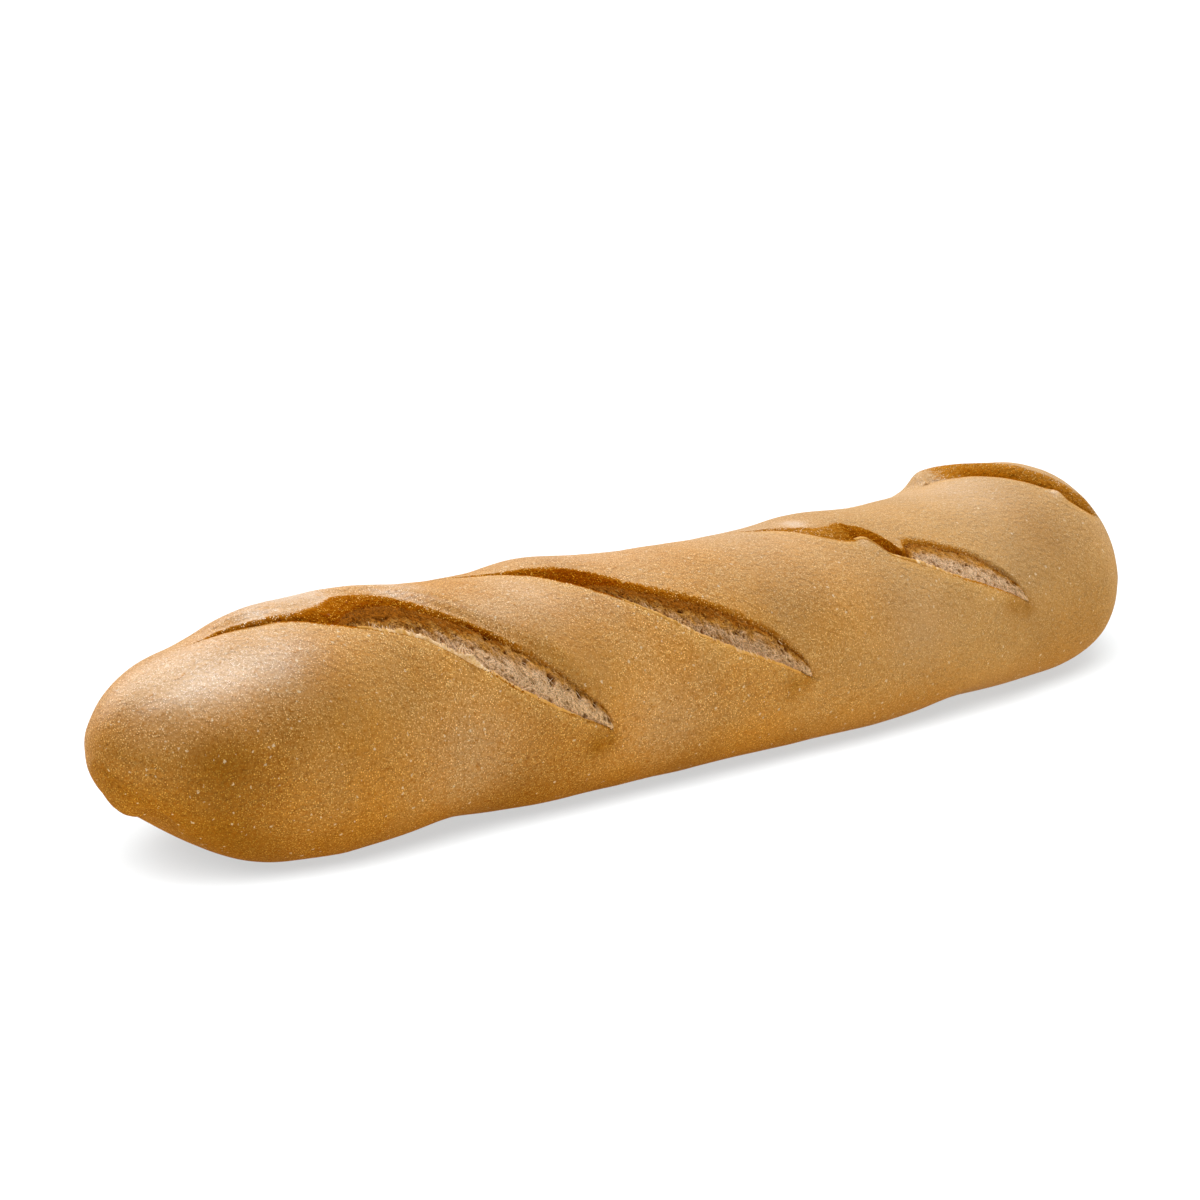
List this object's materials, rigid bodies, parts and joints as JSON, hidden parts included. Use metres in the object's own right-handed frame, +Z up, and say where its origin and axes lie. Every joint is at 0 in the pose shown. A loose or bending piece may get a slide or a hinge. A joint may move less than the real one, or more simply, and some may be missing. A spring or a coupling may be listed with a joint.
{
  "type": "baguette",
  "caption": "Short pale-crusted bread loaf, tapered at one end and blunt at the other, with slanting scores that gape over open crumb.",
  "frame": {"origin": "Under the middle of the loaf's box, on the surface it rests on.", "axes": "+X along the loaf from its tapered end to its blunt end, -Y towards the side on which the scores open, +Z up."},
  "size_m": [0.326, 0.0892, 0.0553],
  "materials": {
    "crust": "Pale golden baked crust, nearly matt, with fine grain, pale flour specks, browner score edges and greyish cream crumb in the open scores."
  },
  "bodies": {
    "root": {"loaf": "crust"}
  },
  "joints": []
}
